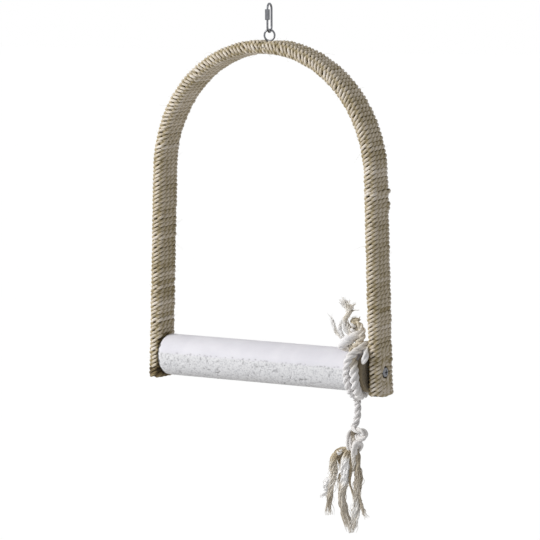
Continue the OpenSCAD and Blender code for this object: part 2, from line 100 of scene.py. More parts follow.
place_camera()
bpy.context.scene.view_settings.view_transform = "Standard"


# Materials

class Value:
    """A socket of a material that carries a number, with arithmetic."""

    def __init__(self, finish, socket):
        self.finish = finish
        self.socket = socket

    def _maths(self, operation, *values):
        return self.finish.node("ShaderNodeMath", {"operation": operation}, *values)

    def __add__(self, other):
        return self._maths("ADD", self, other)

    __radd__ = __add__

    def __sub__(self, other):
        return self._maths("SUBTRACT", self, other)

    def __mul__(self, other):
        return self._maths("MULTIPLY", self, other)

    __rmul__ = __mul__

    def sine(self):
        return self._maths("SINE", self)

    def larger(self, other):
        return self._maths("MAXIMUM", self, other)

    def step(self, low, high):
        """0 below low, 1 above high and smooth between."""
        settings = {"interpolation_type": "SMOOTHSTEP", "clamp": True}
        return self.finish.node("ShaderNodeMapRange", settings, self, low, high, 0.0, 1.0)


class Nodes:
    """A node tree under construction."""

    def __init__(self, tree):
        self.tree = tree

    def node(self, kind, settings=None, *values, out=0, **named):
        """A new node: its settings, then its inputs in order, with None for one left alone, or by name."""
        made = self.tree.nodes.new(kind)
        for name, value in (settings or {}).items():
            if name == "stops":
                self._set_stops(made.color_ramp, value)
            else:
                setattr(made, name, value)
        for key, value in list(enumerate(values)) + [(k.replace("_", " "), v) for k, v in named.items()]:
            if value is not None:
                self.plug(value, made.inputs[key])
        return Value(self, made.outputs[out])

    def plug(self, value, socket):
        if isinstance(value, Value):
            self.tree.links.new(value.socket, socket)
        else:
            socket.default_value = value

    def _set_stops(self, ramp, stops):
        while len(ramp.elements) < len(stops):
            ramp.elements.new(0.5)
        for element, (place, colour) in zip(ramp.elements, stops):
            element.position = place
            element.color = (*colour, 1)

    def background_rays(self):
        """1 for the rays that show the background: from the camera, off metal or through glass."""
        straight, glossy, through = (self.node("ShaderNodeLightPath", None, out=f"Is {kind} Ray")
                                     for kind in ("Camera", "Glossy", "Transmission"))
        return straight.larger(glossy).larger(through)


class Finish(Nodes):
    """A material under construction, with one shader."""

    def __init__(self, name, **fixed):
        self.material = bpy.data.materials.new(name)
        self.material.use_nodes = True
        super().__init__(self.material.node_tree)
        self.shader = self.tree.nodes["Principled BSDF"]
        for socket, value in fixed.items():
            self.shader.inputs[socket.replace("_", " ")].default_value = value

    def set(self, socket, value):
        self.plug(value, self.shader.inputs[socket])

    def place(self):
        return self.node("ShaderNodeTexCoord", None, out="Object")

    def surface(self):
        """Distance along and share around, from the piece's own map."""
        split = self.node("ShaderNodeTexCoord", None, out="UV")
        along = self.node("ShaderNodeSeparateXYZ", None, split, out="X")
        round_share = self.node("ShaderNodeSeparateXYZ", None, split, out="Y")
        return along, round_share

    def attribute(self, name):
        return self.node("ShaderNodeAttribute", {"attribute_name": name}, out="Fac")

    def grain(self, where, scale, detail=3.0, rough=0.55):
        return self.node("ShaderNodeTexNoise", {"noise_dimensions": "3D"},
                         Vector=where, Scale=scale, Detail=detail, Roughness=rough)

    def blend(self, share, first, second, how="MIX"):
        """Two colours mixed by a share. The node's inputs for numbers and vectors are left alone."""
        first, second = (tone if isinstance(tone, Value) else (*tone, 1) for tone in (first, second))
        settings = {"data_type": "RGBA", "blend_type": how}
        left_alone = [None] * 5
        return self.node("ShaderNodeMix", settings, share, *left_alone, first, second, out=2)

    def bump(self, height, distance):
        self.set("Normal", self.node("ShaderNodeBump", None, Strength=1.0, Distance=distance, Height=height))


def zinc_finish(name, tone, roughness):
    """Dull metal with a cloudy surface."""
    metal = Finish(name, Metallic=1.0)
    where = metal.place()
    cloud = metal.grain(where, scale=420.0, detail=4.0)
    fine = metal.grain(where, scale=3200.0, detail=2.0)
    darker = tuple(0.8 * t for t in tone)
    metal.set("Base Color", metal.blend(cloud.step(0.3, 0.7), darker, tone))
    metal.set("Roughness", roughness + 0.16 * cloud + 0.06 * fine)
    metal.bump(cloud + 0.35 * fine, distance=0.00004)
    return metal.material


def sisal_finish():
    """Hard natural fibre: straw strands, pale on their tops, with painted shade in the brown gaps."""
    rope = Finish("sisal fibre", Specular_IOR_Level=0.2)
    along, around = rope.surface()
    place = rope.node("ShaderNodeCombineXYZ", None, X=along * 260.0, Y=around * 22.0, Z=0.0)
    fibre = rope.grain(place, scale=1.0, rough=0.6)
    patch = rope.grain(rope.place(), scale=60.0)
    speck = rope.grain(rope.place(), scale=1100.0, detail=2.0)
    # The shade attribute carries painted shade: in the gaps between turns and strands, on the flats, at the
    # perch and at the left foot
    tone = 0.62 * rope.attribute("shade") + 0.24 * fibre + 0.20 * patch
    colour = rope.node("ShaderNodeValToRGB", {"stops": SISAL_TONES}, tone)
    rope.set("Base Color", rope.blend(speck.step(0.60, 0.70) * 0.4, colour, SISAL_SPECK))
    rope.set("Roughness", 0.62 + 0.25 * fibre)
    rope.bump(fibre + 0.4 * speck, distance=0.0003)
    return rope.material


def cotton_finish(name, stops, relief):
    """Soft cotton: clean yarns, and tan ones where the rope is old."""
    rope = Finish(name, Specular_IOR_Level=0.2, Roughness=0.9)
    along, around = rope.surface()
    place = rope.node("ShaderNodeCombineXYZ", None, X=along * 160.0, Y=around * 30.0, Z=0.0)
    yarn = rope.grain(place, scale=1.0, detail=2.0, rough=0.5)
    ridge = (FULL_TURN * (around * 21.0 + along * 130.0)).sine()
    patch = rope.grain(rope.place(), scale=90.0)
    fuzz = rope.grain(rope.place(), scale=2600.0, detail=2.0)
    # The shade attribute carries painted shade in the strands' grooves, under the knot, in the knot's hole
    # and inside the locks
    tone = 0.70 * rope.attribute("shade") + 0.14 * yarn + 0.18 * patch + 0.02 * ridge
    plain_tone = rope.node("ShaderNodeValToRGB", {"stops": stops}, tone)
    rope.set("Base Color", rope.blend(rope.attribute("tan"), plain_tone, TAN, how="MULTIPLY"))
    rope.set("Sheen Weight", 0.2)
    rope.bump(yarn + 0.18 * ridge + 0.35 * fuzz, distance=relief)
    return rope.material


def cement_finish():
    """Smooth pale cement above, sand and pits below, with painted shade in the pits, at the rims, on the
    right end and underneath.
    """
    cement = Finish("cement", Specular_IOR_Level=0.3)
    where = cement.place()
    rough = cement.attribute("rough")
    cloud = cement.grain(where, scale=38.0, detail=4.0)
    sand = cement.grain(where, scale=1500.0, rough=0.7)
    grit = cement.grain(where, scale=520.0, rough=0.65)
    pits = cement.grain(where, scale=270.0, detail=2.0, rough=0.5)
    smooth_tone = cement.blend(cloud.step(0.35, 0.65), (0.72, 0.71, 0.76), (0.77, 0.76, 0.805))
    sandy_tone = cement.blend(grit.step(0.34, 0.56), (0.58, 0.58, 0.60), (0.79, 0.79, 0.805))
    colour = cement.blend(rough, smooth_tone, sandy_tone)
    # Painted shade in the small pits of the sandy part
    colour = cement.blend(rough * pits.step(0.66, 0.71) * 0.45, colour, (0.24, 0.24, 0.25))
    # Painted shade on the right end, between the rope and the leg, and faintly under the perch
    colour = cement.blend(cement.attribute("stain"), colour, CEMENT_SHADE)
    # Painted shade in the pits and in the crease at each rim
    cement.set("Base Color", cement.blend(cement.attribute("pit"), colour, CEMENT_PIT_SHADE))
    cement.set("Roughness", 0.62 + 0.3 * rough)
    sandy_relief = sand * 0.4 + grit * 0.8 - pits.step(0.60, 0.70) * 0.8
    cement.bump(cloud * 0.15 + rough * sandy_relief, distance=0.0006)
    return cement.material


SISAL_TONES = [(0.20, (0.032, 0.021, 0.009)), (0.40, (0.15, 0.108, 0.050)), (0.60, (0.365, 0.298, 0.168)),
               (0.82, (0.72, 0.64, 0.53)), (1.0, (0.92, 0.875, 0.82))]
SISAL_SPECK = (0.16, 0.11, 0.06)
COTTON_TONES = [(0.12, (0.10, 0.085, 0.07)), (0.36, (0.42, 0.38, 0.34)), (0.58, (0.73, 0.70, 0.685)),
                (0.86, (0.91, 0.895, 0.90))]
LOOSE_TONES = [(0.08, (0.07, 0.055, 0.035)), (0.30, (0.33, 0.285, 0.225)), (0.55, (0.72, 0.68, 0.63)),
               (0.86, (0.93, 0.92, 0.915))]
TAN = (0.80, 0.71, 0.52)
# Colours of the painted shade on the cement: on its right end and underneath, and in its pits and rim creases
CEMENT_SHADE = (0.27, 0.215, 0.13)
CEMENT_PIT_SHADE = (0.10, 0.095, 0.09)

STEEL = zinc_finish("mill steel", (0.20, 0.20, 0.205), 0.42)
ZINC = zinc_finish("zinc plate", (0.205, 0.21, 0.225), 0.26)
SISAL = sisal_finish()
COTTON = cotton_finish("cotton rope", COTTON_TONES, 0.0003)
LOOSE = cotton_finish("loose cotton", LOOSE_TONES, 0.00003)
CEMENT = cement_finish()


# Floor and surroundings

FLOOR_Z = -1.1
FLOOR_HALF = 30
FLOOR_GLOW = 1.05
FLOOR_CLEAR = 0.93
SKY_LIGHT = 0.41
WHITE = (1, 1, 1, 1)


def floor_finish():
    """A pale floor that keeps the shadow and is white where the background shows."""
    floor = Finish("pale floor", Roughness=0.9)
    floor.set("Base Color", (0.86, 0.86, 0.86, 1))
    glow = floor.node("ShaderNodeEmission", None, Color=WHITE, Strength=FLOOR_GLOW)
    share = FLOOR_CLEAR * floor.background_rays()
    surface = Value(floor, floor.shader.outputs[0])
    mixed = floor.node("ShaderNodeMixShader", None, share, surface, glow)
    floor.plug(mixed, floor.tree.nodes["Material Output"].inputs["Surface"])
    return floor.material


def surroundings():
    """The floor, an even sky and two soft lamps."""
    mesh = bmesh.new()
    bmesh.ops.create_grid(mesh, x_segments=1, y_segments=1, size=FLOOR_HALF)
    floor = finished_piece("floor", mesh, floor_finish(), smooth=False)
    floor.data.transform(Matrix.Translation((0, 0, FLOOR_Z)))
    world = bpy.data.worlds.new("studio")
    bpy.context.scene.world = world
    world.use_nodes = True
    sky = Nodes(world.node_tree)
    glow = sky.tree.nodes["Background"].inputs
    sky.plug(WHITE, glow["Color"])
    sky.plug(SKY_LIGHT + (1 - SKY_LIGHT) * sky.background_rays(), glow["Strength"])
    soft_lamp("key", place=(-2.0, -1.9, 0.95), size=0.9, power=69)
    soft_lamp("top", place=(-0.4, -0.2, 2.0), size=1.4, power=4)


# Shapes

ROPE_FACES = 24
MERGE_DISTANCE = 1e-7
# How the painted shade on a tube's sides that face away from the outward directions comes on
FACING_SHIFT, FACING_SPAN = 0.55, 1.25


def ramp(value):
    """A number kept between 0 and 1."""
    return min(1, max(0, value))


def finished_piece(name, mesh, material, smooth=True):
    """Turns a bmesh into an object with its material."""
    data = bpy.data.meshes.new(name)
    if smooth:
        for face in mesh.faces:
            face.smooth = True
    mesh.to_mesh(data)
    mesh.free()
    piece = bpy.data.objects.new(name, data)
    bpy.context.scene.collection.objects.link(piece)
    piece.data.materials.append(material)
    return piece


def distances(route):
    """How far along a route each of its rows lies."""
    return np.concatenate([[0], np.cumsum(np.linalg.norm(np.diff(route, axis=0), axis=1))])


def row_values(value, count):
    """A number for each row, from one for all or one for each."""
    return np.broadcast_to(np.asarray(value, float), (count,))


def smooth_route(points, step, samples=24):
    """Evenly spaced rows along a smooth curve through the points. Any further columns are carried along."""
    p = np.array(points, float)
    p = np.vstack([2 * p[0] - p[1], p, 2 * p[-1] - p[-2]])
    rows = []
    for a, b, c, d in zip(p, p[1:], p[2:], p[3:]):
        t = np.linspace(0, 1, samples, endpoint=False)[:, None]
        curve = 2 * b + (c - a) * t
        curve = curve + (2 * a - 5 * b + 4 * c - d) * t ** 2
        curve = curve + (3 * b - a - 3 * c + d) * t ** 3
        rows.append(curve / 2)
    rows = np.vstack(rows + [p[-2:-1]])
    reach = distances(rows[:, :3])
    even = np.linspace(0, reach[-1], max(4, int(round(reach[-1] / step)) + 1))
    return np.stack([np.interp(even, reach, rows[:, k]) for k in range(rows.shape[1])], axis=1)


def route_frames(route, start):
    """Heading and two directions square to it at each row, turning as little as they can."""
    heading = np.gradient(route, axis=0)
    heading /= np.linalg.norm(heading, axis=1)[:, None]
    side = np.array(start, float)
    sides = []
    for t in heading:
        side = side - side.dot(t) * t
        side /= np.linalg.norm(side)
        sides.append(side)
    sides = np.array(sides)
    return heading, sides, np.cross(heading, sides)


def rope_section(angle, strands, fullness):
    """Reach of a twisted section at an angle, as a share of the rope's radius."""
    half = math.pi / strands
    near = (angle + half) % (2 * half) - half
    apart = 1 - fullness
    bulge = np.maximum(fullness ** 2 - (apart * np.sin(near)) ** 2, 0.0004)
    return apart * np.cos(near) + np.sqrt(bulge)


def add_tube(mesh, route, radii, around, start=(0.3, 0.2, 0.9), twist=None, strands=3, fullness=0.5,
             relief=1.0, shade=0.5, tan=0.0, groove_shade=0.6, outward=None, squash=1.0):
    """Rolls a grid round a route.

    With a twist, an angle for each row, its sides follow strands that turn by it, with painted shade in the
    grooves between them. With outward directions, it is pressed wide across them and has painted shade on the
    sides that face away from them."""
    count = len(route)
    map_layer = mesh.loops.layers.uv.verify()
    for name in ("shade", "tan"):
        if name not in mesh.verts.layers.float:
            mesh.verts.layers.float.new(name)
    shade_layer, tan_layer = mesh.verts.layers.float["shade"], mesh.verts.layers.float["tan"]
    grid = bmesh.ops.create_grid(mesh, x_segments=count - 1, y_segments=around, size=0.5, calc_uvs=True)
    heading, side, other = route_frames(route, start)
    if outward is not None:
        side = outward - (outward * heading).sum(axis=1)[:, None] * heading
        side /= np.linalg.norm(side, axis=1)[:, None]
        other = np.cross(heading, side)
    section = np.linspace(0, FULL_TURN, around + 1)[None, :]
    lobes = np.ones((count, around + 1))
    turn = section + np.zeros((count, 1))
    if twist is not None:
        lobes -= row_values(relief, count)[:, None] * (1 - rope_section(section, strands, fullness))
        turn += twist[:, None]
    ray = np.cos(turn)[..., None] * side[:, None, :] + np.sin(turn)[..., None] * other[:, None, :]
    size = row_values(radii, count)[:, None] * lobes
    pressed = ray + (squash - 1) * np.sin(turn)[..., None] * other[:, None, :]
    place = route[:, None, :] + size[..., None] * pressed
    # Painted shade in the grooves between the strands
    tone = row_values(shade, count)[:, None] - groove_shade * (1 - lobes)
    # Painted shade on the sides that face away from the outward directions, where the turns meet
    if outward is not None:
        facing = (ray * outward[:, None, :]).sum(axis=2)
        tone = tone * np.clip((facing + FACING_SHIFT) / FACING_SPAN, 0, 1)
    hue = row_values(tan, count)
    faces = set()
    for vertex in grid["verts"]:
        ring = round((vertex.co.x + 0.5) * (count - 1))
        spoke = round((vertex.co.y + 0.5) * around) % around
        vertex.co = place[ring, spoke]
        vertex[shade_layer] = tone[ring, spoke]
        vertex[tan_layer] = hue[ring]
        faces.update(vertex.link_faces)
    length = distances(route)[-1]
    for face in faces:
        for loop in face.loops:
            loop[map_layer].uv.x *= length


def close_tubes(mesh):
    """Merges each tube's seam, closes its ends and turns its faces outwards."""
    bmesh.ops.remove_doubles(mesh, verts=mesh.verts, dist=MERGE_DISTANCE)
    open_edges = [edge for edge in mesh.edges if edge.is_boundary]
    bmesh.ops.holes_fill(mesh, edges=open_edges, sides=0)
    bmesh.ops.recalc_face_normals(mesh, faces=mesh.faces)
    return mesh


surroundings()


# Cotton rope. Its free end comes first.

COTTON_RADIUS = 3.5
COTTON_LAY = 20.7
PERCH_Z = -338.2
PERCH_RADIUS = 19.85
TURN_RADIUS = 23.55
ROPE_STEP = 0.8
YARN_STEP = 2.0
TAIL_START = (97.3, -0.9, -367.7)
TAIL_POINTS = [
    TAIL_START, (97.4, -1, -373), (97.4, -1, -379), (96.8, -1.2, -384), (95.6, -2, -388.4), (95.6, -4, -392),
    (99.8, -6, -394), (104.8, -5.5, -394.2), (107.2, -3.5, -397.4), (104.8, -4, -401), (99.6, -2.4, -401.6),
    (93.6, 2, -399.4), (89, 2, -397.8), (88.6, -2, -400.2), (90, -5, -405.4), (91.2, -4.4, -411.6),
    (92.4, 0, -414.6), (95.8, 2.8, -413.4), (99.4, 1, -408.8), (100.6, -3.2, -406.2), (98.4, -6, -406.2),
    (96.8, -6.2, -411.2), (95.6, -4, -416.6)]
DRAWN_FROM = 20
UNLAID_FROM = 52
SETTLING = 12


def lay_tail():
    """The rope's free end, down from the winding and through its knot in one length.

    It is drawn a little thinner and tanner towards the knot, and loses its twist inside it."""
    route = smooth_route(TAIL_POINTS, ROPE_STEP)
    run = np.arange(len(route)) * ROPE_STEP
    drawn = np.clip((run - DRAWN_FROM) / SETTLING, 0, 1)
    lays = COTTON_LAY * (1 + 3 * np.clip((run - UNLAID_FROM) / SETTLING, 0, 1))
    twist = FULL_TURN * np.cumsum(ROPE_STEP / lays)
    mesh = bmesh.new()
    add_tube(mesh, route * MM, COTTON_RADIUS * MM * (1 - 0.1 * drawn), ROPE_FACES, twist=twist,
             shade=0.9 + 0.08 * drawn, tan=0.12 * drawn)
    piece = finished_piece("cotton_tail", close_tubes(mesh), COTTON)
    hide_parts("rope_tail", "rope_tail_knot")
    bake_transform(piece, "swing", "tassel", start=(0.0975, -0.001, -0.3735), end=(0.0975, -0.001, -0.3835))
    return piece, route * MM


def on_perch(x, turn, reach):
    """A place round the perch: turn is 0 in front, 90 below, 180 behind and 270 above."""
    a = math.radians(turn)
    return (x, -reach * math.cos(a), PERCH_Z - reach * math.sin(a))


def lay_strand(mesh, points, lay=COTTON_LAY, fullness=0.5, shade=0.95):
    """One stretch of rope.

    Each point is a place, a radius, how tan the rope is there and, if it changes, a shade."""
    rows = smooth_route(points, ROPE_STEP)
    twist = FULL_TURN * ROPE_STEP / lay * np.arange(len(rows))
    if rows.shape[1] > 5:
        shade = rows[:, 5]
    add_tube(mesh, rows[:, :3] * MM, rows[:, 3] * MM, ROPE_FACES, start=(1, 0, 0), twist=twist,
             fullness=fullness, shade=shade, tan=rows[:, 4])


def lay_turns():
    """From under the knot, twice round the perch and down to the free end."""
    loose, taut = 4.6, COTTON_RADIUS
    points = [
        (*on_perch(98, -66, 25), taut, 0.9), (*on_perch(101.6, -48, 25), 4, 0.9),
        (*on_perch(105.4, -28, 25), 4.4, 0.8), (*on_perch(107.6, -4, 24.4), loose, 0),
        (*on_perch(107.6, 24, 24.4), loose, 0), (*on_perch(106.6, 48, 24.3), loose, 0.1),
        (*on_perch(104.4, 68, 24), 4.2, 0.1), (*on_perch(102.2, 90, TURN_RADIUS), taut, 0.1),
        (*on_perch(103.6, 120, TURN_RADIUS), taut, 0.1), (*on_perch(107.6, 150, TURN_RADIUS), taut, 0.1),
        (*on_perch(110, 190, TURN_RADIUS), taut, 0.1), (*on_perch(110.6, 230, TURN_RADIUS), taut, 0.1),
        (*on_perch(110.6, 262, 24.6), taut, 0.2), (110.8, -9, -312.6, taut, 0.35),
        (110.5, -15, -314.6, 3.6, 0.35), (109, -19.8, -316.8, 3.8, 0.3), (106.6, -23.8, -319.4, 4, 0.15),
        (104.4, -26.8, -322.8, 4, 0.05), (102.2, -27.6, -328, 3.7, 0), (100.4, -26, -333.4, 3.6, 0),
        (*on_perch(98.8, 0, 24), taut, 0), (*on_perch(98.3, 24, TURN_RADIUS), taut, 0),
        (*on_perch(97.8, 46, TURN_RADIUS), taut, 0), (*on_perch(97.3, 66, 24), taut, 0),
        (97.2, -4.4, -363.4, taut, 0.1), (*TAIL_START, taut, 0.1)]
    # The first three points are painted darker, as shade under the knot
    shaded_under_knot = [0.6, 0.65, 0.75]
    shades = shaded_under_knot + [0.95] * (len(points) - len(shaded_under_knot))
    mesh = bmesh.new()
    lay_strand(mesh, [(*point, shade) for point, shade in zip(points, shades)])
    # The short bright end between the knot and the leg
    lay_strand(mesh, [
        (113.6, -11.5, -314.2, 1.8, 0.5), (116, -16.8, -318.4, 2.6, 0.1), (116.8, -19.4, -322.4, 3.2, 0),
        (116, -20.6, -326.2, 2.8, 0), (114.8, -21, -328.8, 1.4, 0.2),
    ], lay=40, fullness=0.55, shade=1.1)
    piece = finished_piece("cotton_turns", close_tubes(mesh), COTTON)
    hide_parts("rope_turns")
    return piece


def tie_knot():
    """The upper knot: a fat piece lying to the left, and a loop that stands up to its right."""
    mesh = bmesh.new()
    # The fat piece
    lay_strand(mesh, [
        (103.8, -3, -303.6, 3, 0.5), (102.8, -7.4, -303, 3.7, 0.4), (100.3, -10.6, -305, 4.2, 0.2),
        (97.4, -13.2, -307.2, 4.7, 0.05), (94.5, -15.6, -309.4, 4.9, 0), (91.7, -16.8, -311.4, 4.8, 0),
        (89.4, -17, -313.4, 4.2, 0), (88.8, -15.4, -315.4, 3.4, 0.1), (91.4, -13.4, -316.4, 3.2, 0.3),
        (96, -12.2, -316.4, 3.2, 0.3),
    ], lay=30, fullness=0.62, shade=1.08)
    # The loop, and the strand that fills it
    lay_strand(mesh, [
        (96, -11.6, -314.2, 3, 0.6), (100.8, -13.6, -314, 3.4, 0.75), (104.4, -12.4, -312.2, 3.7, 0.75),
        (105.8, -9.4, -308.4, 3.7, 0.6), (105.8, -7.2, -303.9, 3.7, 0.45), (104.8, -5.8, -299.6, 3.6, 0.45),
        (102.2, -5, -296, 3.3, 0.7), (98.8, -5.2, -293.6, 3, 0.95), (95.6, -6, -294.6, 2.8, 1),
        (95.6, -7.2, -298.4, 2.8, 0.7), (98, -6.4, -302, 3, 0.5),
    ], lay=17, shade=1.1)
    lay_strand(mesh, [
        (97.2, -4.6, -296.8, 2.2, 0.9), (100.2, -4.6, -299, 3.2, 0.8), (101.8, -6.4, -302.4, 3.4, 0.8),
        (102, -8.6, -306.4, 3.4, 0.8), (100.8, -10.4, -310.6, 3.2, 0.8),
    ], lay=17, shade=1.05)
    # Two short strands across the loop
    lay_strand(mesh, [
        (94.2, -7.6, -294, 1, 0.4), (97, -9.8, -295, 1.7, 0.15), (99.8, -8.4, -296.6, 1.2, 0.3),
    ], fullness=0.7, shade=1.05)
    lay_strand(mesh, [
        (94.6, -8.4, -298.4, 1, 0.3), (97.4, -10.8, -299.4, 1.8, 0.1), (100.4, -9, -301, 1.2, 0.3),
    ], fullness=0.7, shade=1.05)
    piece = finished_piece("cotton_knot", close_tubes(mesh), COTTON)
    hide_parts("rope_top_knot")
    return piece


CORE_FACES, YARN_FACES = 12, 5
YARN_SIDE = (0.2, 1, 0.1)
FEWEST_ROWS = 4


def add_lock(mesh, guide, strands, thick, seed, wave=0.5, stray=0.35, core=0.0):
    """A lock of loose yarns, with a soft core that fills a share of its spread.

    Each guide point is a place, a spread, a shade and how tan the yarns are."""
    luck = random.Random(seed)
    rows = smooth_route(guide, YARN_STEP)
    middle, spread, shades, tans = rows[:, :3], rows[:, 3], rows[:, 4], rows[:, 5]
    _, side, other = route_frames(middle, YARN_SIDE)
    along = np.linspace(0, 1, len(rows))
    if core:
        ends = np.interp(along, [0, 0.1, 0.8, 1], [0.3, 1, 0.9, 0.1])
        add_tube(mesh, middle * MM, core * ends * spread * MM, CORE_FACES, start=YARN_SIDE, shade=shades,
                 tan=tans)
    for _ in range(strands):
        angle = luck.uniform(0, FULL_TURN)
        out = math.sqrt(luck.uniform(0.02, 1))
        loose = luck.random() < stray
        turns = luck.uniform(-0.4, 2.0)
        phase = luck.uniform(0, FULL_TURN)
        pace = luck.uniform(3, 7)
        last = luck.uniform(0.5, 1.0) if loose else min(1.0, luck.uniform(0.74, 1.05))
        share = along <= last
        if share.sum() < FEWEST_ROWS:
            continue
        bearing = angle + FULL_TURN * turns * along
        ripple = wave * (1 + 1.2 * loose) * np.sin(phase + pace * FULL_TURN * along)
        ripple = ripple * np.clip(3 * along, 0, 1)
        reach = spread * out * (1 + 0.5 * loose * along) + ripple
        towards = np.cos(bearing)[:, None] * side + np.sin(bearing)[:, None] * other
        place = middle + reach[:, None] * towards
        size = (0.4 if loose else 1.0) * thick * luck.uniform(0.75, 1.2)
        taper = np.interp(along[share] / last, [0, 0.75, 1], [1, 0.85, 0.25])
        # Yarns near the lock's middle get painted shade
        shade = shades[share] * luck.uniform(0.8, 1.15) - 0.1 * (1 - out)
        tan = np.clip(tans[share] + luck.uniform(-0.15, 0.15), 0, 1)
        add_tube(mesh, place[share] * MM, size * taper * MM, YARN_FACES, start=YARN_SIDE, shade=shade,
                 tan=tan)


def spread_tassel():
    """The rope's strands, out of the knot's middle and below it unlaid into wavy locks."""
    mesh = bmesh.new()
    # Inside the knot, and out of its end. Its first points are painted dark, as the shade in the knot's hole
    add_lock(mesh, [
        (93, 0.6, -395.6, 2, 0.12, 0.3), (93.4, 0, -400, 3.4, 0.2, 0.1), (93.6, -0.6, -405.6, 3.6, 0.65, 0),
        (94.4, -0.8, -411, 3.2, 0.7, 0.1), (95.4, -0.8, -417, 2, 0.5, 0.5),
    ], strands=44, thick=0.62, seed=20, wave=0.2, stray=0, core=0.85)
    add_lock(mesh, [
        (96, -4.6, -412.6, 2.6, 0.9, 0.1), (95.4, -4, -417, 2.8, 0.9, 0.1),
        (94.8, -3.2, -422.4, 2, 0.95, 0.1), (94, -2.8, -429, 1.4, 0.8, 0.3),
        (93.4, -2.6, -436, 0.8, 0.6, 0.5),
    ], strands=30, thick=0.6, seed=28, wave=0.3, stray=0.1, core=0.7)
    # The left lock, with a white curl on its bend and a white puff at its side
    add_lock(mesh, [
        (90, -3, -411, 1.4, 0.4, 0.7), (84.5, -3.4, -413.6, 2.2, 0.4, 0.9), (78.6, -3, -415.4, 2.4, 0.4, 1),
        (73.6, -2.4, -421, 2.8, 0.5, 0.9), (71.4, -2, -429, 3.2, 0.75, 0.5),
        (71.6, -1.6, -438, 3.2, 0.8, 0.4), (69, -1.4, -448, 3.2, 0.8, 0.3), (66.6, -1, -458, 2.8, 0.55, 0.4),
        (66.2, -1, -468, 3, 0.45, 0.4), (67.4, -1, -478, 4.6, 0.7, 0.3),
    ], strands=50, thick=0.56, seed=11, wave=0.8, core=0.65)
    add_lock(mesh, [
        (83.4, -5, -413.8, 1, 1.1, 0), (79.8, -5.2, -416.4, 2.2, 1.15, 0), (76.4, -4.6, -419.4, 1, 1.1, 0.1),
    ], strands=14, thick=0.55, seed=18, stray=0.1)
    add_lock(mesh, [
        (71.6, -2, -440, 1.4, 1.2, 0.2), (67, -1.8, -443.6, 3, 1.4, 0), (63.4, -1.6, -448.6, 3.8, 1.4, 0),
        (64.4, -1.4, -454, 3, 1.4, 0), (60.4, -1.2, -457.4, 2.6, 1.3, 0), (56.4, -1, -461.6, 2.8, 1.3, 0.05),
    ], strands=56, thick=0.5, seed=12, wave=0.6, stray=0.2, core=0.85)
    # The thin strand that waves between the left lock and the middle one
    add_lock(mesh, [
        (88, -0.5, -413, 1.4, 0.4, 0.8), (81.4, -0.6, -417, 2.2, 0.4, 1), (77, -0.8, -422, 2.2, 0.35, 1),
        (78.8, -0.6, -429, 1.6, 0.4, 1), (79.6, 0, -436, 1.4, 0.45, 0.9), (76.2, 0.2, -443, 1.4, 0.5, 0.8),
        (75.8, 0, -454, 1.4, 0.6, 0.6),
    ], strands=22, thick=0.54, seed=13)
    # The middle lock, white above and grey below
    add_lock(mesh, [
        (91, -3, -412, 2.2, 0.4, 0.8), (88.2, -3.6, -418, 3.6, 0.45, 0.7), (86.8, -3.8, -424, 4.4, 1.35, 0.1),
        (86.4, -3.8, -433, 4.8, 1.4, 0), (85, -2.8, -441, 4.2, 1.3, 0.05), (81.4, -1.8, -451, 3.2, 0.62, 0.3),
        (80.6, -1, -461, 3.2, 0.56, 0.3), (82.4, -1, -472, 4, 0.54, 0.35), (86.2, -1, -482, 4.4, 0.54, 0.35),
        (89.6, -1, -493, 4.2, 0.8, 0.1),
    ], strands=72, thick=0.68, seed=14, wave=0.6, core=0.75)
    # The right lock
    add_lock(mesh, [
        (95.8, -2, -413, 2, 0.4, 0.4), (97.6, -1, -420, 2.4, 0.45, 0.6), (96.4, 0, -430, 2.6, 0.5, 0.6),
        (97.8, 0.5, -438, 3.4, 0.52, 0.5), (97, 0.5, -447.5, 3.4, 0.58, 0.4), (95.6, 0, -458, 2.8, 0.65, 0.3),
        (94.8, 0, -468, 3.8, 1.4, 0.1), (93.8, -0.5, -479, 4, 0.8, 0.2), (92, -1, -492, 3.8, 0.6, 0.15),
    ], strands=64, thick=0.62, seed=15, wave=0.7, core=0.7)
    # Thin strands between the middle and the right, and the one that leaves to the right
    add_lock(mesh, [
        (94, -3, -414, 0.9, 0.7, 0.5), (92, -3.4, -425, 1.3, 0.42, 1), (91.4, -3.4, -434, 1.3, 0.42, 1),
        (90, -3, -444.4, 0.9, 0.42, 0.9), (93.6, -2, -456.8, 0.8, 0.5, 0.7),
        (95.4, -1.6, -464, 0.7, 0.5, 0.6),
    ], strands=15, thick=0.5, seed=16, wave=0.25, stray=0.1)
    add_lock(mesh, [
        (96.4, -1.4, -464, 0.5, 0.5, 0.7), (93.6, -2, -469, 0.6, 0.5, 0.7),
        (89.4, -2, -472.4, 0.5, 0.55, 0.6),
    ], strands=5, thick=0.4, seed=19, wave=0.2, stray=0)
    add_lock(mesh, [
        (98, 0, -450, 0.9, 0.6, 0.6), (99.6, 0.4, -461, 1.2, 0.6, 0.6), (102.2, 0.4, -469, 1.8, 0.65, 0.5),
        (107.4, 0, -477.4, 3, 0.75, 0.3),
    ], strands=22, thick=0.46, seed=17)
    piece = finished_piece("cotton_tassel", close_tubes(mesh), LOOSE)
    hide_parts("rope_tassel")
    return piece


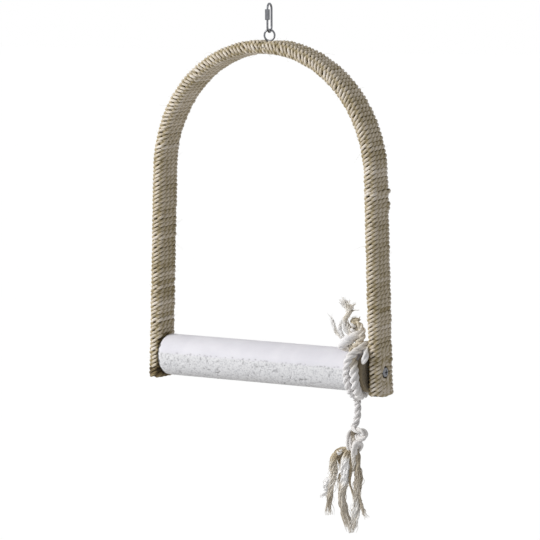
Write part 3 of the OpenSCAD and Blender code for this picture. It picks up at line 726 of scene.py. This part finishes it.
def spread_fray():
    """The short end above the upper knot, unlaid into a tuft and loose strands."""
    mesh = bmesh.new()
    # The strand that rises from the knot into the tuft
    add_lock(mesh, [
        (96, -10.6, -304.6, 1, 0.8, 0.3), (92.4, -11.6, -301.5, 1.6, 1.1, 0.1),
        (89.2, -11, -298.1, 1.8, 1.2, 0), (88.4, -10, -293.6, 1.8, 1.1, 0.1),
        (89.6, -9, -289, 1.9, 0.85, 0.5), (92.2, -8, -284.7, 1.7, 0.95, 0.4),
        (92.6, -6, -281, 2.4, 1.1, 0.35), (91.6, -5, -276.8, 4.4, 1.1, 0.5),
        (93, -4.6, -272.6, 5.4, 1.1, 0.5),
    ], strands=64, thick=0.42, seed=21, stray=0.25)
    add_lock(mesh, [
        (91.6, -8, -286, 1.2, 1, 0.3), (89.4, -6, -280.6, 2.2, 1.1, 0.25), (86, -5, -276, 3.4, 1.15, 0.2),
        (80.4, -4.4, -271.8, 3.8, 1.15, 0.1),
    ], strands=56, thick=0.36, seed=22, wave=0.4)
    # The strand that leaves to the left, and two between
    add_lock(mesh, [
        (88.6, -13.6, -308.2, 1, 1, 0.1), (84.4, -13, -305.2, 1.5, 1, 0.1),
        (80.5, -12, -301.4, 1.5, 0.95, 0.1), (77.2, -11, -296.1, 1.5, 1.1, 0),
        (73.9, -10, -289.9, 2, 1.15, 0), (70.8, -9.6, -285, 2.4, 1.15, 0),
    ], strands=24, thick=0.4, seed=24, wave=0.4)
    add_lock(mesh, [
        (90.4, -13.6, -306.6, 1, 1, 0.1), (86.8, -13, -302.8, 1.6, 1.2, 0), (84.4, -12, -298.8, 1.7, 1.2, 0),
        (84.8, -11, -294.7, 1.5, 1.05, 0.1), (87, -10, -289.6, 1.2, 1, 0.2),
    ], strands=24, thick=0.44, seed=23, wave=0.3)
    add_lock(mesh, [
        (97.6, -10, -303.4, 1, 0.9, 0.4), (94, -10.4, -299.8, 1.7, 0.95, 0.3),
        (91.8, -9.4, -295.4, 1.8, 0.95, 0.3), (90.8, -8.2, -290.9, 1.2, 0.9, 0.5),
    ], strands=22, thick=0.48, seed=25, wave=0.3)
    # The tan end of the loop, and one stray yarn
    add_lock(mesh, [
        (94.6, -6.4, -294.4, 1.4, 0.8, 1), (94.6, -5.4, -291.2, 2.4, 0.85, 0.9),
        (97.4, -4.6, -290.4, 2.6, 0.85, 0.9), (100.4, -3.6, -290.4, 2.2, 0.85, 0.7),
        (101.6, -2.6, -287.6, 1.4, 0.9, 0.5),
    ], strands=34, thick=0.42, seed=27, wave=0.4)
    add_lock(mesh, [
        (92, -7, -285, 0.4, 0.4, 0.5), (96, -6, -281.8, 0.5, 0.4, 0.5), (101.8, -5, -281.4, 0.4, 0.5, 0.4),
    ], strands=4, thick=0.3, seed=26, wave=0.1, stray=0)
    piece = finished_piece("cotton_fray", close_tubes(mesh), LOOSE)
    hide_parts("rope_top_fray")
    return piece


tail, tail_route = lay_tail()
tassel = spread_tassel()
turns = lay_turns()
knot = tie_knot()
fray = spread_fray()
for piece, body in ((tassel, "tassel"), (turns, "swing"), (knot, "swing"), (fray, "swing")):
    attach(piece, body)
tail_path = [list(p) for p in tail_route[::3]] + [list(tail_route[-1])]


# Sisal rope wound on the bar. Distances run along the bar's middle line from the right foot.

ARCH_HEIGHT = 327.5
HALF_FOOT = 124.3
LEAN = math.radians(1.7)
SHOULDER = 124.0
CROWN_HALF = math.radians(52)
BAR_W, BAR_T = 21.0, 4.5
SISAL_D = 4.2
WRAP_T = 12.9
CROWN_Z = -32.5
FOOT_Z = CROWN_Z - ARCH_HEIGHT
EYE_OFFSET = 2.0
CROWN_TURN = math.pi - CROWN_HALF
CROWN_SHARE = (1 + math.cos(CROWN_TURN)) / math.sin(CROWN_TURN)
LEG = ((ARCH_HEIGHT - WRAP_T / 2 + SHOULDER * (math.sin(LEAN) + math.cos(CROWN_TURN))
        - CROWN_SHARE * (HALF_FOOT - SHOULDER * (math.cos(LEAN) - math.sin(CROWN_TURN))))
       / (math.cos(LEAN) - CROWN_SHARE * math.sin(LEAN)))
SHOULDER_X = HALF_FOOT - LEG * math.sin(LEAN) - SHOULDER * math.cos(LEAN)
SHOULDER_Z = LEG * math.cos(LEAN) - SHOULDER * math.sin(LEAN)
CROWN_RADIUS = (SHOULDER_X + SHOULDER * math.sin(CROWN_TURN)) / math.sin(CROWN_TURN)
CROWN_CENTRE = ARCH_HEIGHT - WRAP_T / 2 - CROWN_RADIUS
SHOULDER_ANGLE = math.pi / 2 - CROWN_HALF - LEAN
SHOULDER_ARC = SHOULDER * SHOULDER_ANGLE
HALF_PATH = LEG + SHOULDER_ARC + CROWN_RADIUS * CROWN_HALF

TURNS = 192
FLAT_ROWS, EDGE_ROWS, CORNER_ROWS = 13, 4, 4
SISAL_FACES = 12
SISAL_TWISTS = 5
SISAL_RUN = 1.2
FLAT_RELIEF = 0.6
FLAT_SHADE = 0.94
LEFT_AGE = 0.06
FOOT_SHADE = 0.36
LIE_PLAY, REACH_PLAY, TONE_PLAY, TWIST_PLAY = 0.14, 0.012, 0.07, 0.3
PROUD_TURNS = (46, 42.6)
PROUD_REACH = 0.13
SCREW_RISE = 21.81
SCREW_GAP, SCREW_ROOM = 6.4, 22
EYE_GAP, EYE_ROOM, EYE_DENT = 5.6, 16, 2.0
NUT_GAP, NUT_ROOM, NUT_DENT = 5.6, 18, 1.3
FIBRES = 620
FIBRE_ROWS, FIBRE_FACES = 6, 3
FIBRE_ROOT, FIBRE_TIP = 0.085, 0.03
FIBRES_ON_FLATS = 0.42


def bar_place(s):
    """Place and outward direction of the bar's middle line at distances from the right foot."""
    mirrored = s > HALF_PATH
    s = np.where(mirrored, 2 * HALF_PATH - s, s)
    on_leg = s < LEG
    on_shoulder = s < LEG + SHOULDER_ARC
    upright = math.pi / 2 + LEAN
    on_crown = CROWN_TURN + (s - LEG - SHOULDER_ARC) / CROWN_RADIUS
    heading = np.where(on_leg, upright, np.where(on_shoulder, upright + (s - LEG) / SHOULDER, on_crown))
    across, along = np.sin(heading), np.cos(heading)
    bent_x = np.where(on_shoulder, SHOULDER_X + SHOULDER * across, CROWN_RADIUS * across)
    bent_z = np.where(on_shoulder, SHOULDER_Z - SHOULDER * along, CROWN_CENTRE - CROWN_RADIUS * along)
    x = np.where(on_leg, HALF_FOOT - s * math.sin(LEAN), bent_x)
    z = np.where(on_leg, s * math.cos(LEAN), bent_z)
    flip = np.where(mirrored, -1.0, 1.0)
    return flip * x - EYE_OFFSET, z + FOOT_Z, flip * across, -along


def turn_outline(reach):
    """One turn round the bar's section, as outward and sideways places, and the share of the turn at each."""
    a, b, c = BAR_T / 2, BAR_W / 2, reach
    flats = [((a + c, -b), (a + c, b), FLAT_ROWS), ((a, b + c), (-a, b + c), EDGE_ROWS),
             ((-a - c, b), (-a - c, -b), FLAT_ROWS), ((-a, -b - c), (a, -b - c), EDGE_ROWS)]
    corners = [((a, b), 0), ((-a, b), 90), ((-a, -b), 180), ((a, -b), 270)]
    rows = []
    for (first, last, count), (centre, start) in zip(flats, corners):
        for t in np.arange(count) / count:
            rows.append((first[0] + (last[0] - first[0]) * t, first[1] + (last[1] - first[1]) * t))
        for angle in np.radians(start + 90 * np.arange(CORNER_ROWS) / CORNER_ROWS):
            rows.append((centre[0] + c * math.cos(angle), centre[1] + c * math.sin(angle)))
    rows = np.array(rows)
    run = distances(np.vstack([rows, rows[:1]]))
    return rows, run[:-1] / run[-1]


def parted(s, aside, face, middle, gap, room):
    """Turns on one face moved along the bar from a place, each to the side on which it lies there."""
    far = (s - middle).reshape(-1, face.size)
    level = far[:, face].mean(axis=1, keepdims=True)
    keep = np.sqrt(np.maximum(gap ** 2 - aside.reshape(far.shape) ** 2, 0))
    near = np.clip(1 - np.abs(far) / room, 0, 1)
    return s + (face * np.where(level < 0, -1.0, 1.0) * keep * near).ravel()


def evened(rows):
    """The same rows with each step between turns spread over its neighbours."""
    return np.convolve(np.pad(rows, 4, mode="edge"), np.ones(9) / 9, mode="valid")


def uneven_turns(first, last, seed, outline, share):
    """Each row's distance along the bar, outward and sideways place, tone and twist, a little uneven."""
    luck = random.Random(seed)
    front = share[outline[:, 1] < -BAR_W / 2 - 2].mean()
    step = (2 * HALF_PATH - 2 * SISAL_RUN) / (TURNS + 1)
    s, out, aside, tone, twist = [], [], [], [], []
    for k in range(first, last):
        s.append(SISAL_RUN + step * (k + 0.5 + share) + luck.gauss(0, LIE_PLAY))
        bump = PROUD_REACH * max(math.exp(-((k - place) / 0.9) ** 2) for place in PROUD_TURNS)
        proud = luck.gauss(0, REACH_PLAY) + bump * np.clip(outline[:, 1] / 8, 0, 1)
        out.append(outline[:, 0] * (1 + proud * 2.5))
        aside.append(outline[:, 1] * (1 + proud))
        # The last two turns, at the left foot, are painted dark as shade under it; the left leg is a little
        # darker
        plain_tone = FOOT_SHADE if k >= TURNS - 2 else 1 - LEFT_AGE * ramp((k / TURNS - 0.6) / 0.15)
        tone.append(np.full(len(share), plain_tone + luck.gauss(0, TONE_PLAY)))
        twist.append(-FULL_TURN * SISAL_TWISTS * (k + share - front) + luck.gauss(0, TWIST_PLAY))
    return [np.concatenate(rows) for rows in (s, out, aside, tone, twist)]


def wind_sisal(first, last, name, seed):
    """Turns first to last of the winding, unbroken, parted at the screws, the eye and its nut."""
    outline, share = turn_outline(SISAL_D / 2 + 0.02)
    outer, inner = outline[:, 0] > BAR_T / 2 + 2, outline[:, 0] < -BAR_T / 2 - 2
    s, out, aside, tone, twist = uneven_turns(first, last, seed, outline, share)
    s, tone, twist = evened(s), evened(tone), evened(twist)
    s = np.clip(s, SISAL_D / 2, 2 * HALF_PATH - SISAL_D / 2)
    for middle in (SCREW_RISE, 2 * HALF_PATH - SCREW_RISE):
        s = parted(s, aside, outer, middle, SCREW_GAP, SCREW_ROOM)
    eye = HALF_PATH - EYE_OFFSET
    s = parted(s, 1.5 * aside, outer, eye, EYE_GAP, EYE_ROOM)
    s = parted(s, aside, inner, eye, NUT_GAP, NUT_ROOM)
    out = out - NUT_DENT * np.exp(-((s - eye) / 7) ** 2 - (aside / 8) ** 2) * np.tile(inner, last - first)
    out = out - EYE_DENT * np.exp(-((s - eye) / 6.5) ** 2) * (out > 0)
    x, z, nx, nz = bar_place(s)
    route = np.stack([x + out * nx, aside, z + out * nz], axis=1)
    off_flat = out - np.clip(out, -BAR_T / 2, BAR_T / 2)
    off_edge = aside - np.clip(aside, -BAR_W / 2, BAR_W / 2)
    away = np.stack([off_flat, off_edge], axis=1)
    away /= np.linalg.norm(away, axis=1)[:, None]
    outward = np.stack([away[:, 0] * nx, away[:, 1], away[:, 0] * nz], axis=1)
    swell = np.array([1.06 + 0.04 * noise.noise(Vector((i * 0.021, seed, 0))) for i in range(len(route))])
    edge = np.clip((np.abs(aside) - BAR_W / 2 + 1) / 2.5, 0, 1)
    relief = FLAT_RELIEF + (1 - FLAT_RELIEF) * edge
    # Painted shade where the inner face meets the perch
    off_axis = np.hypot(route[:, 1], route[:, 2] - PERCH_Z)
    perch_seat_shade = np.clip((PERCH_RADIUS + 0.8 - off_axis) / 2, 0, 1) * np.clip((-out - BAR_T / 2 - 0.5) / 1.2, 0, 1)
    # The wide flats are painted a little darker, as shade on the sides
    tone = tone * (FLAT_SHADE + (1 - FLAT_SHADE) * edge) * (1 - 0.65 * perch_seat_shade)
    mesh = bmesh.new()
    add_tube(mesh, route * MM, SISAL_D / 2 * MM * swell, SISAL_FACES, twist=twist, strands=2, fullness=0.60,
             relief=relief, shade=tone, groove_shade=0.85, outward=outward, squash=1.2)
    piece = finished_piece(name, close_tubes(mesh), SISAL)
    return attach(piece, "swing")


def pull_fibres(amount, seed):
    """Stray fibres that stand out of the winding."""
    luck = random.Random(seed)
    mesh = bmesh.new()
    for _ in range(amount):
        s = luck.uniform(3, 2 * HALF_PATH - 3)
        if luck.random() < FIBRES_ON_FLATS:
            face = (luck.choice((-1, 1)), 0)
            out, aside = 0, luck.uniform(-11, 11)
        else:
            face = (0, luck.choice((-1, 1)))
            out, aside = luck.uniform(-4, 4), 0
        out += face[0] * (BAR_T / 2 + SISAL_D - 0.3)
        aside += face[1] * (BAR_W / 2 + SISAL_D - 0.3)
        x, z, nx, nz = (float(v) for v in bar_place(np.array(s)))
        outward = Vector((nx * face[0], face[1], nz * face[0]))
        root = Vector((x + out * nx, aside, z + out * nz)) - outward * 0.4
        drift = Vector([luck.gauss(0, 1) for _ in range(3)])
        drift = (drift - drift.dot(outward) * outward).normalized()
        long = luck.uniform(2.0, 6.0) if luck.random() < 0.9 else luck.uniform(6, 12)
        bend = Vector([luck.gauss(0, 1) for _ in range(3)]) * 0.25
        rows = []
        for t in np.linspace(0, 1, FIBRE_ROWS):
            lift = long * 0.35 * math.sin(2.4 * t) + 0.2
            rows.append(root + drift * long * t + outward * lift + bend * long * t * t)
        radii = np.linspace(FIBRE_ROOT, FIBRE_TIP, FIBRE_ROWS) * MM
        add_tube(mesh, np.array(rows) * MM, radii, FIBRE_FACES, start=(0.31, 0.42, 0.85), shade=1.0)
    piece = finished_piece("sisal_fibres", close_tubes(mesh), SISAL)
    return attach(piece, "swing")


windings = [wind_sisal(-1, TURNS // 2, "sisal_winding_right", 3),
            wind_sisal(TURNS // 2, TURNS + 1, "sisal_winding_left", 4)]
for winding in windings:
    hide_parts("sisal_wrap")
pull_fibres(FIBRES, 5)


# Cement perch

PERCH_HALF = 116.311
PERCH_SLICES, PERCH_FACES = 320, 220
RIM_LONG, RIM_DEEP = 5.0, 3.2
BORE_RADIUS, BORE_DEPTH = 5.1, 36.0
ROUGH_LEVEL, ROUGH_WAVE, ROUGH_SPAN = 12, 2.5, 4
PIT_REACH = 112
LOW_PITS, EDGE_PITS = 80, 110
# Distance along and level
LARGE_PITS = [(-0.3, -6.3), (-47.3, -36.8), (47.8, -34.7), (52.4, -33.4)]
DRAWN_OUT = Vector((0.6, 1, 1))
END_SHADE_FROM = 108.6


def perch_profile():
    """Half of the perch's section, with rounded rims and a blind bore for the insert at each end."""
    end = [(PERCH_HALF - BORE_DEPTH, 0), (PERCH_HALF - BORE_DEPTH, BORE_RADIUS), (PERCH_HALF, BORE_RADIUS),
           (PERCH_HALF, PERCH_RADIUS - 2 * RIM_DEEP)]
    end += [(PERCH_HALF - RIM_LONG * (1 - math.cos(a)), PERCH_RADIUS - RIM_DEEP * (1 - math.sin(a)))
            for a in np.linspace(0, 1.5, 9)]
    reach = PERCH_HALF - RIM_LONG
    side = [(-reach + 2 * reach * k / PERCH_SLICES, PERCH_RADIUS) for k in range(1, PERCH_SLICES)]
    return [(-x, r) for x, r in end] + side + end[::-1]


def scatter_pits(seed):
    """Pits below, more of them along the smooth part's edge: distance along, level, side and size."""
    luck = random.Random(seed)
    pits = [(luck.uniform(-PIT_REACH, PIT_REACH), luck.uniform(-70, 10), luck.choice((-1, 1)),
             luck.uniform(0.35, 0.9)) for _ in range(LOW_PITS)]
    pits += [(luck.uniform(-PIT_REACH, PIT_REACH), luck.gauss(11, 1.2), luck.choice((-1, 1)),
              luck.uniform(0.3, 0.6)) for _ in range(EDGE_PITS)]
    return pits + [(x, level, 1, 1.1) for x, level in LARGE_PITS]


def pit_finder(pits):
    """A tree that finds the nearest pit. Pits are longer along the perch than across it."""
    tree = kdtree.KDTree(len(pits))
    for i, (x, level, side, _) in enumerate(pits):
        a = math.radians(level)
        middle = Vector((x, -side * PERCH_RADIUS * math.cos(a), PERCH_RADIUS * math.sin(a)))
        tree.insert(middle * DRAWN_OUT, i)
    tree.balance()
    return tree


def cast_perch():
    """A spun bar, smooth above and pitted below where it lay in its mould."""
    mesh = bmesh.new()
    for name in ("rough", "pit", "stain"):
        mesh.verts.layers.float.new(name)
    layers = mesh.verts.layers.float
    rough_layer, pit_shade_layer, painted_shade_layer = layers["rough"], layers["pit"], layers["stain"]
    verts = [mesh.verts.new((x, -r, 0)) for x, r in perch_profile()]
    edges = [mesh.edges.new(pair) for pair in zip(verts, verts[1:])]
    bmesh.ops.spin(mesh, geom=verts + edges, cent=(0, 0, 0), axis=(1, 0, 0), angle=FULL_TURN,
                   steps=PERCH_FACES, use_merge=True)
    poles = [vertex for vertex in mesh.verts if math.hypot(vertex.co.y, vertex.co.z) < 0.001]
    bmesh.ops.remove_doubles(mesh, verts=poles, dist=0.01)
    bmesh.ops.recalc_face_normals(mesh, faces=mesh.faces)
    pits = scatter_pits(7)
    finder = pit_finder(pits)
    for vertex in mesh.verts:
        p = vertex.co.copy()
        level = math.degrees(math.atan2(p.z, abs(p.y)))
        line = ROUGH_LEVEL + ROUGH_WAVE * noise.noise(Vector((p.x * 0.05, 0, 3 if p.y < 0 else 9)))
        rough = ramp((line - level) / ROUGH_SPAN)
        vertex[rough_layer] = rough
        _, i, far = finder.find(p * DRAWN_OUT)
        pit_size = pits[i][3]
        pit = math.exp(-(far / pit_size) ** 2)
        # Painted shade in the pits, and in the crease where each rim meets the winding, wider and uneven at
        # the left end
        width, depth = (3.2 + 1.6 * noise.noise(p * 0.35), 1) if p.x < 0 else (1.9, 0.45)
        rim_shade = depth * ramp((abs(p.x) - PERCH_HALF + width) / 0.9)
        vertex[pit_shade_layer] = max(0.5 * pit, rim_shade)
        # Painted shade on the right end, where the rope and the leg shade it, and faintly on the underside
        end_shade = 0.95 * ramp((p.x - END_SHADE_FROM) / 1.5) * ramp((85 - level) / 45)
        vertex[painted_shade_layer] = max(end_shade, 0.1 * ramp((-30 - level) / 30))
        if abs(p.x) < PERCH_HALF - RIM_LONG and math.hypot(p.y, p.z) > BORE_RADIUS + 1:
            grain = 0.10 * noise.noise(p * 0.9) + 0.08 * noise.noise(p * 1.7)
            across = Vector((0, p.y, p.z)).normalized()
            vertex.co = p + across * (rough * grain - 0.8 * pit * pit_size + 0.05 * noise.noise(p * 0.12))
    place = Matrix.Scale(MM, 4) @ Matrix.Translation((-EYE_OFFSET, 0, PERCH_Z))
    bmesh.ops.transform(mesh, matrix=place, verts=mesh.verts)
    piece = finished_piece("cement_perch", mesh, CEMENT)
    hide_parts("perch")
    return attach(piece, "swing")


cast_perch()


# Metal pieces keep their exact shapes

for name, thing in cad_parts.items():
    finish = STEEL if name in ("arch_bar", "perch_insert_left", "perch_insert_right") else ZINC
    if not thing.hide_render:
        for slot in thing.material_slots:
            slot.material = finish
